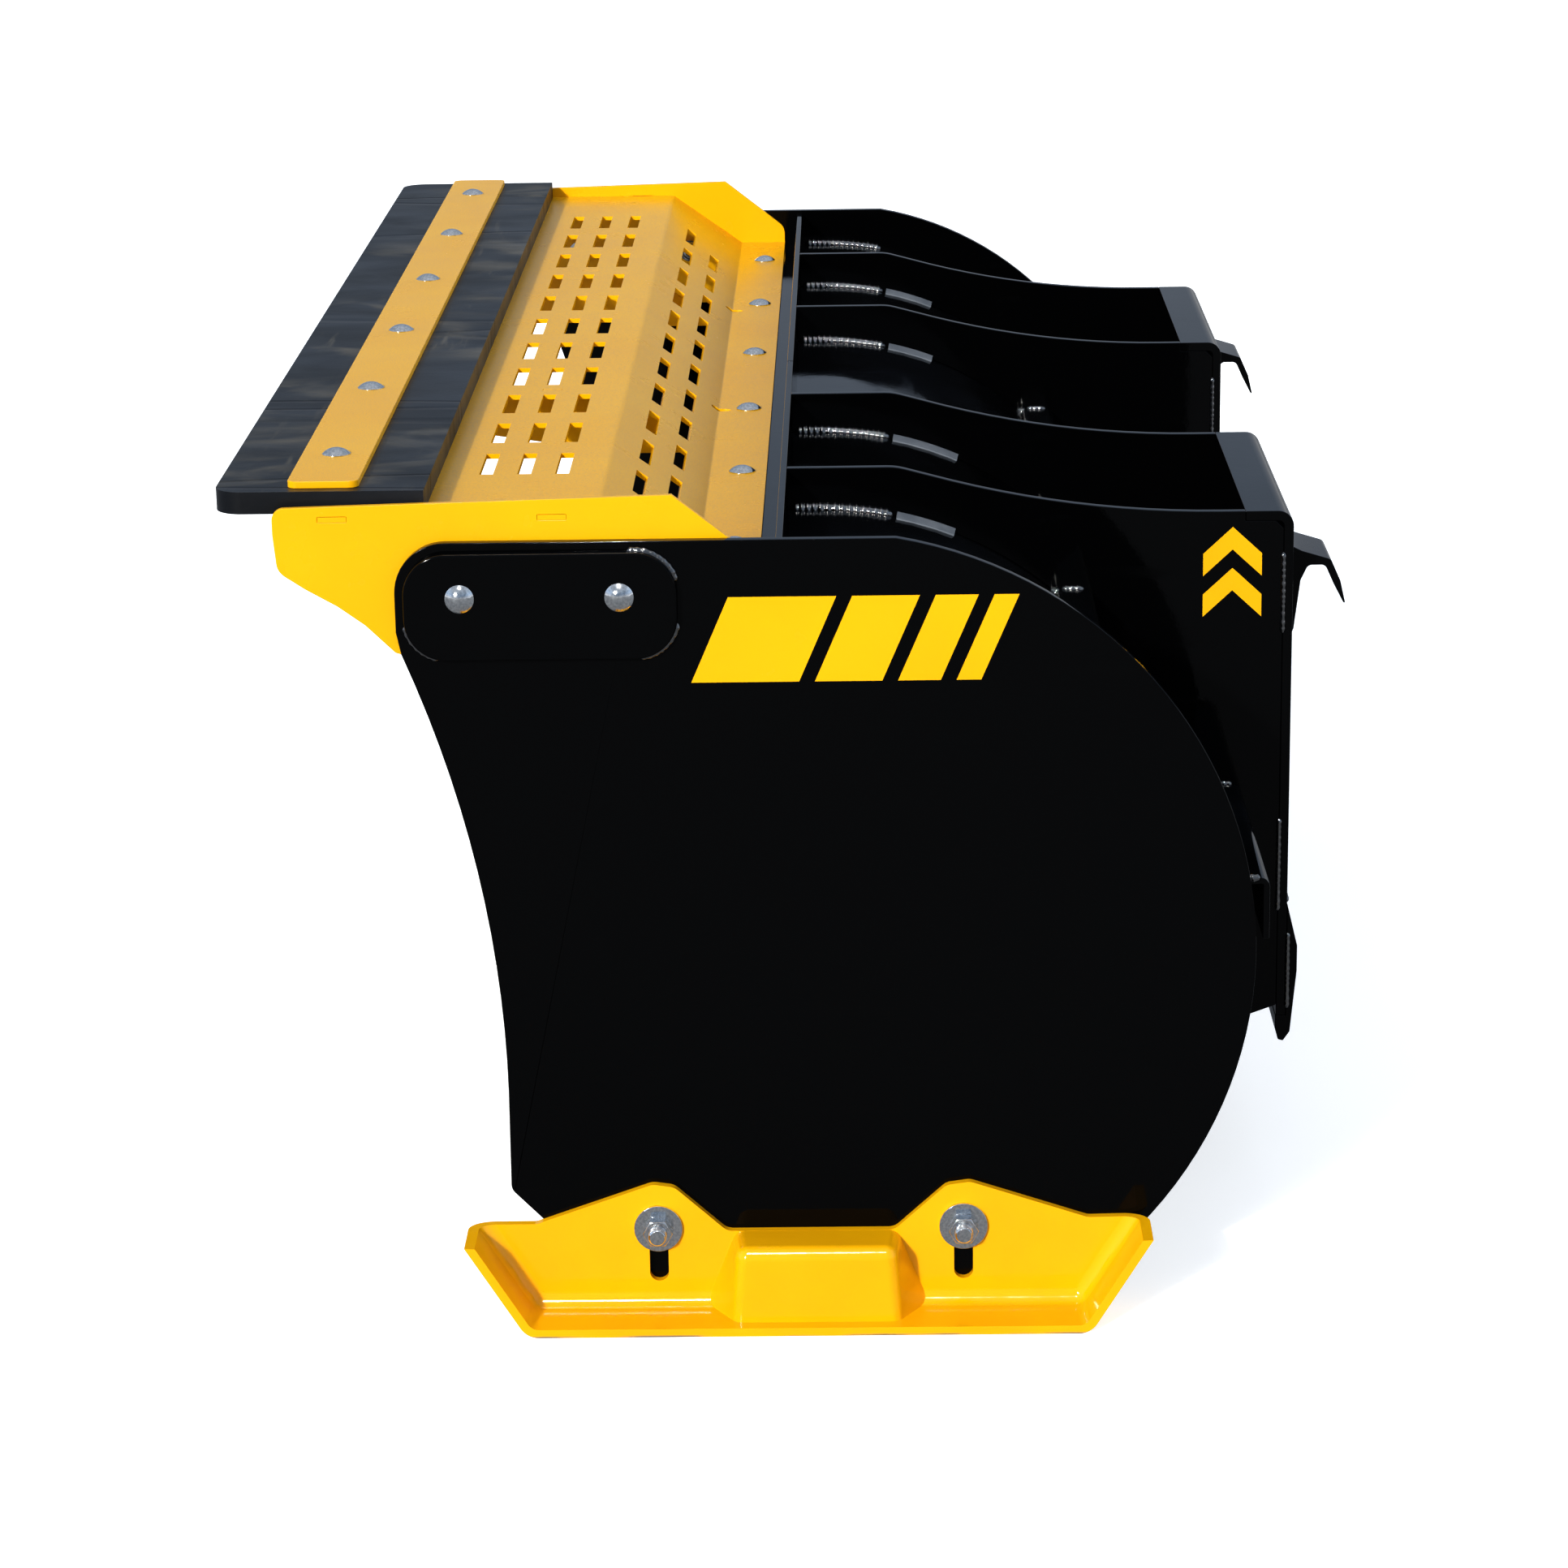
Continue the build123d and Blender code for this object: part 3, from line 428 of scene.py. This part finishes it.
def add_moldboard_welds():
    flat_start = rail_high.y + 3 * MM
    outside = []
    for x, side in frame_faces():
        out = (Z + side * X).normalized()
        flat = run(Vector((x, flat_start, LEDGE_TOP)), Vector((x, ARC_Y, LEDGE_TOP)))
        step = math.degrees(STEP / BACK_R)
        curve = [Vector((x, y, z)) for y, z in arc(BACK_R, 90, CURVE_END, step)][1:]
        points = flat + curve
        radials = [Vector((0, p.y - ARC_Y, p.z - ARC_Z)).normalized() for p in curve]
        outs = [out] * len(flat) + [(radial + side * X).normalized() for radial in radials]
        outside.append(bead(points, outs, 6.8 * MM, x))
        outside += [arc_bead(x, BACK_R, a, b, side, 1, 6.0 * MM) for a, b in STITCHES]
    add_piece("rib_welds", outside, "frame_black", finish=BEAD_PAINT)
    # Flat grey strips in the corners beside the rib beads: a painted reflection of the sky.
    strips = [painted_reflection_run(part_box(name)[1].x, end) for name, end in zip(RIBS, REFLECTION_STRIP_ENDS)]
    add_piece("painted_reflection_strip", strips, "frame_black", smooth=False, finish=REFLECTION_PAINT)
    inside = [arc_bead(side * END_IN, BACK_R - SHEET, 88, -35, -side, -1, 4.0 * MM) for side in (1, -1)]
    add_piece("end_plate_welds", inside, "frame_black", finish=BEAD_PAINT)


def add_stiffener_welds():
    parts = []
    for name in ("stiffener_upper", "stiffener_lower"):
        low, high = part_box(name)
        for x, side in frame_faces():
            out = Z + side * X
            start, end = (x, low.y + 2 * MM, high.z), (x, high.y - 9 * MM, high.z)
            parts.append(straight_bead(start, end, out, 3.6 * MM, x))
            front = Vector((x + side * 4 * MM, low.y, high.z - 3 * MM))
            parts.append(straight_bead(front, front + side * 62 * MM * X, Z - Y, 3.2 * MM, x + 1))
    add_piece("stiffener_welds", parts, "frame_black", finish=BEAD_PAINT)


def add_attach_welds():
    """Beads of the quick-attach plates, their hook lips and their pin plates."""
    inner_y = attach_high.y - ATTACH_T
    parts = []
    for name in RIBS:
        low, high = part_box(name)
        centre = (low.x + high.x) / 2
        inward = -1 if "outer" in name else 1
        sign = math.copysign(1, centre)
        inner_x = high.x if sign * inward > 0 else low.x
        outer_x = low.x if sign * inward > 0 else high.x
        for z in (0.20, 0.36, 0.53):
            parts.append(straight_bead((inner_x, inner_y, z), (inner_x, inner_y, z + 0.10),
                                       sign * inward * X - Y, 4.2 * MM, z))
        for z, length in ((0.280, 0.095), (0.560, 0.080)):
            parts.append(straight_bead((outer_x, inner_y, z), (outer_x, inner_y, z + length),
                                       -sign * inward * X, 2.6 * MM, z))
    for side in ("left", "right"):
        lip_low, lip_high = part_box(f"hook_lip_{side}")
        pin_low, pin_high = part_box(f"pin_plate_{side}")
        top = lip_high.z + 1 * MM
        parts.append(straight_bead((lip_low.x - 3 * MM, attach_high.y, top),
                                   (lip_high.x + 3 * MM, attach_high.y, top), Y + Z, 5.4 * MM, top))
        for x, way in ((lip_low.x, -1), (lip_high.x, 1)):
            parts.append(straight_bead((x, attach_high.y, lip_low.z + 4 * MM), (x, attach_high.y, top),
                                       way * X + Y, 4.6 * MM, x))
        span = pin_high.x - pin_low.x
        for share in (0.04, 0.38, 0.72):
            start = pin_low.x + share * span
            parts.append(straight_bead((start, attach_high.y, pin_high.z - 2 * MM),
                                       (start + 0.24 * span, attach_high.y, pin_high.z - 2 * MM),
                                       Y + Z, 3.6 * MM, start))
        for x, way in ((pin_low.x, -1), (pin_high.x, 1)):
            parts.append(straight_bead((x, attach_high.y + 1 * MM, pin_low.z + 34 * MM),
                                       (x, attach_high.y + 1 * MM, pin_high.z - 30 * MM),
                                       way * X, 2.6 * MM, x))
    add_piece("attach_welds", parts, "frame_black", finish=BEAD_PAINT)


def add_doubler_welds():
    """Beads round the rear and the lower front corners of the doublers."""
    corner = 38 * MM
    parts = []
    for side in (1, -1):
        x = side * END_OUT
        for y, z, start, end in (
            (doubler_high.y - corner, doubler_high.z - corner, 100, 15),
            (doubler_high.y - corner, doubler_low.z + corner, -10, -85),
            (doubler_low.y + corner, doubler_low.z + corner, 260, 190),
        ):
            points, outs = [], []
            count = round(math.radians(abs(end - start)) * corner / STEP)
            for i in range(count + 1):
                turn = math.radians(start + (end - start) * i / count)
                radial = Vector((0, math.cos(turn), math.sin(turn)))
                points.append(Vector((x, y, z)) + corner * radial)
                outs.append((radial + side * X).normalized())
            parts.append(bead(points, outs, 3.8 * MM, start))
    add_piece("doubler_welds", parts, "frame_black", finish=BEAD_PAINT)


# ---- threads ------------------------------------------------------------------------
FIVE_EIGHTHS = (7.94 * MM, 8.0 * MM, 2.31 * MM)    # shank radius, threaded length seen, pitch
HALF_INCH = (6.35 * MM, 3.2 * MM, 1.95 * MM)
TIP_IN = 1.2 * MM             # the thread stops short of the bolt's tip


def thread(tip, axis, shank_r, length, pitch):
    """Helical ridge over the last length of a shank; axis points out through the tip."""
    side = (X if abs(axis.x) < 0.5 else Y).cross(axis).normalized()
    other = axis.cross(side)
    per_turn = 20
    count = round(length / pitch * per_turn)
    ridge = 0.55 * MM
    rings = []
    for i in range(count + 1):
        turn = 2 * math.pi * i / per_turn
        along = -length + pitch * i / per_turn
        radial = math.cos(turn) * side + math.sin(turn) * other
        fade = min(1.0, i / 6, (count - i) / 6 + 0.02)
        base, crest = shank_r - 0.1 * MM, shank_r + ridge * max(fade, 0.05)
        rings.append([tip + axis * (along - 0.46 * pitch) + radial * base,
                      tip + axis * (along - 0.06 * pitch) + radial * crest,
                      tip + axis * (along + 0.06 * pitch) + radial * crest,
                      tip + axis * (along + 0.46 * pitch) + radial * base])
    return skin_rings(rings)


def islands(node):
    """Boxes of the separate solids of a node, as (low, high) pairs."""
    made = bmesh.new()
    made.from_mesh(nodes[node].data)
    bmesh.ops.remove_doubles(made, verts=made.verts, dist=0.01 * MM)
    made.verts.ensure_lookup_table()
    left, boxes = set(range(len(made.verts))), []
    while left:
        stack, group = [left.pop()], []
        while stack:
            vert = made.verts[stack.pop()]
            group.append(vert.co.copy())
            for edge in vert.link_edges:
                index = edge.other_vert(vert).index
                if index in left:
                    left.discard(index)
                    stack.append(index)
        boxes.append((Vector([min(c[i] for c in group) for i in range(3)]),
                      Vector([max(c[i] for c in group) for i in range(3)])))
    made.free()
    return sorted(boxes, key=lambda pair: tuple(pair[0]))


def add_threads():
    """Threads on the ends of the bolts that stand level or upright."""
    parts = []
    for low, high in islands("shoe_bolts"):
        side = math.copysign(1, low.x)
        centre = (low + high) / 2
        tip = Vector((high.x if side > 0 else low.x, centre.y, centre.z)) - side * TIP_IN * X
        parts.append(thread(tip, side * X, *FIVE_EIGHTHS))
    for low, high in islands("cheek_bolts"):
        side = math.copysign(1, low.x)
        centre = (low + high) / 2
        tip = Vector((low.x if side > 0 else high.x, centre.y, centre.z)) + side * TIP_IN * X
        parts.append(thread(tip, -side * X, *HALF_INCH))
    for name in ("drag_bar_bolts", "flange_bolts"):
        for low, high in islands(name):
            centre = (low + high) / 2
            tip = Vector((centre.x, centre.y, low.z + TIP_IN))
            parts.append(thread(tip, -Z, *HALF_INCH))
    add_piece("bolt_threads", parts, "zinc_hardware")


# ---- generic marks in place of the decals --------------------------------------------


def mark(x, outline, side):
    """Thin vinyl shape on a face at x; outline holds (y, z) points, drawn anticlockwise for +X."""
    thick, lift = 0.15 * MM, 0.03 * MM
    inner = [(x + side * lift, y, z) for y, z in outline]
    outer = [(x + side * (lift + thick), y, z) for y, z in outline]
    count = len(outline)
    faces = [tuple(range(count, 2 * count)), tuple(range(count))[::-1]]
    faces += [(i, (i + 1) % count, count + (i + 1) % count, count + i) for i in range(count)]
    if side < 0:
        faces = [face[::-1] for face in faces]
    return inner + outer, faces


def add_marks():
    """Slanted bars on the end plates and a pair of chevrons on the outer ribs."""
    bars_y, bars_z, height, slant = ARC_Y - 112 * MM, ARC_Z + 258 * MM, 78 * MM, 34 * MM
    parts = []
    for side in (1, -1):
        y = bars_y
        for width in (96, 60, 38, 22):
            w = width * MM
            outline = [(y, bars_z), (y + w, bars_z),
                       (y + w + slant, bars_z + height), (y + slant, bars_z + height)]
            parts.append(mark(side * END_OUT, outline, side))
            y += w + 14 * MM
    rib_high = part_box("rib_outer_left")[1]
    centre_y, foot_z = attach_high.y - 58 * MM, rib_high.z - 150 * MM
    half, rise, bar = 28 * MM, 26 * MM, 22 * MM
    for side in (1, -1):
        for lift in (0, 40 * MM):
            z = foot_z + lift
            for way in (-1, 1):
                outline = [(centre_y, z + rise), (centre_y + way * half, z), (centre_y + way * half, z + bar),
                           (centre_y, z + rise + bar)]
                if way < 0:
                    outline = outline[::-1]
                parts.append(mark(side * rib_high.x, outline, side))
    add_piece("marks", parts, "kit_yellow", smooth=False)


add_moldboard_welds()
add_stiffener_welds()
add_attach_welds()
add_doubler_welds()
add_threads()
add_marks()

# ---- stage --------------------------------------------------------------------------


def add_floor():
    mesh = bpy.data.meshes.new("floor")
    half = 40.0
    corners = [(-half, -half, 0), (half, -half, 0), (half, half, 0), (-half, half, 0)]
    mesh.from_pydata(corners, [], [(0, 1, 2, 3)])
    mesh.materials.append(floor_finish())
    floor = bpy.data.objects.new("floor", mesh)
    bpy.context.scene.collection.objects.link(floor)


def add_sky():
    """Soft sky, brighter low down ahead of and behind the object, plain white to the camera."""
    world = bpy.data.worlds.new("studio")
    bpy.context.scene.world = world
    world.use_nodes = True
    tree = world.node_tree
    coords = tree.nodes.new("ShaderNodeTexCoord")
    split = tree.nodes.new("ShaderNodeSeparateXYZ")
    ramp = tree.nodes.new("ShaderNodeValToRGB")
    stops = ((0.0, (0.46, 0.47, 0.49)), (0.10, (0.33, 0.36, 0.41)), (0.28, (0.25, 0.32, 0.42)),
             (0.50, (0.32, 0.38, 0.46)), (1.0, (0.50, 0.53, 0.58)))
    while len(ramp.color_ramp.elements) < len(stops):
        ramp.color_ramp.elements.new(0.5)
    for element, (place, colour) in zip(ramp.color_ramp.elements, stops):
        element.position = place
        element.color = (*colour, 1)
    tree.links.new(coords.outputs["Generated"], split.inputs["Vector"])
    tree.links.new(split.outputs["Z"], ramp.inputs["Fac"])
    to_sides = tree.nodes.new("ShaderNodeMath")
    to_sides.operation = "ABSOLUTE"
    tree.links.new(split.outputs["Y"], to_sides.inputs[0])
    panels = tree.nodes.new("ShaderNodeMapRange")
    panels.interpolation_type = "SMOOTHSTEP"
    for socket, value in zip(("From Min", "From Max", "To Min", "To Max"), (0.50, 0.92, 1.0, 2.0)):
        panels.inputs[socket].default_value = value
    tree.links.new(to_sides.outputs[0], panels.inputs["Value"])
    seen = tree.nodes.new("ShaderNodeLightPath").outputs["Is Camera Ray"]
    backdrop = tree.nodes.new("ShaderNodeMix")
    backdrop.data_type = "RGBA"
    backdrop.inputs[7].default_value = (1.3, 1.3, 1.3, 1)
    tree.links.new(seen, backdrop.inputs["Factor"])
    tree.links.new(ramp.outputs["Color"], backdrop.inputs[6])
    tree.links.new(backdrop.outputs[2], tree.nodes["Background"].inputs["Color"])
    tree.links.new(panels.outputs["Result"], tree.nodes["Background"].inputs["Strength"])


def add_sun(name, azimuth, elevation, strength, softness, tint=(1.0, 0.97, 0.92), glints=True, lit=True):
    """Sun-like light: azimuth from +X towards +Y, all angles in degrees.

    Without glints it makes no highlights, and without lit it makes nothing else.
    """
    data = bpy.data.lights.new(name, "SUN")
    data.energy = strength
    data.angle = math.radians(softness)
    data.color = tint
    lamp = bpy.data.objects.new(name, data)
    turn, rise = math.radians(azimuth), math.radians(elevation)
    to_light = Vector((math.cos(rise) * math.cos(turn), math.cos(rise) * math.sin(turn), math.sin(rise)))
    lamp.visible_glossy, lamp.visible_diffuse = glints, lit
    lamp.rotation_mode = "QUATERNION"
    lamp.rotation_quaternion = to_light.to_track_quat("Z", "Y")
    bpy.context.scene.collection.objects.link(lamp)


CAMERA_PLACE = Vector((4.6766, 0.0502, 1.6233))
CAMERA_YAW, CAMERA_PITCH, CAMERA_ROLL = (math.radians(a) for a in (1.044, 16.534, -0.920))
LENS, SENSOR = 100.62, 36.0


def add_camera():
    data = bpy.data.cameras.new("camera")
    data.lens, data.sensor_width = LENS, SENSOR
    data.clip_start, data.clip_end = 0.05, 200
    camera = bpy.data.objects.new("camera", data)
    forward = -Vector((math.cos(CAMERA_PITCH) * math.cos(CAMERA_YAW),
                       math.cos(CAMERA_PITCH) * math.sin(CAMERA_YAW), math.sin(CAMERA_PITCH)))
    right = forward.cross(Vector((0, 0, 1))).normalized()
    up = right.cross(forward)
    turned_right = math.cos(CAMERA_ROLL) * right + math.sin(CAMERA_ROLL) * up
    turned_up = -math.sin(CAMERA_ROLL) * right + math.cos(CAMERA_ROLL) * up
    basis = Matrix((turned_right, turned_up, -forward)).transposed()
    camera.matrix_world = Matrix.Translation(CAMERA_PLACE) @ basis.to_4x4()
    bpy.context.scene.collection.objects.link(camera)
    bpy.context.scene.camera = camera


add_floor()
add_sky()
add_sun("key", -26, 24, 1.2, 9)
add_sun("glint", -26, 24, 2.2, 1.8)
add_sun("sparkle", -6, 58, 2.2, 1.2, lit=False)
add_sun("rear_fill", 140, 6, 1.5, 30, (0.95, 0.97, 1.0), glints=False)
add_sun("front_fill", -110, 6, 0.8, 30, (0.95, 0.97, 1.0), glints=False)
add_camera()
view = bpy.context.scene.view_settings
view.view_transform = "Standard"
view.look = "Medium High Contrast"
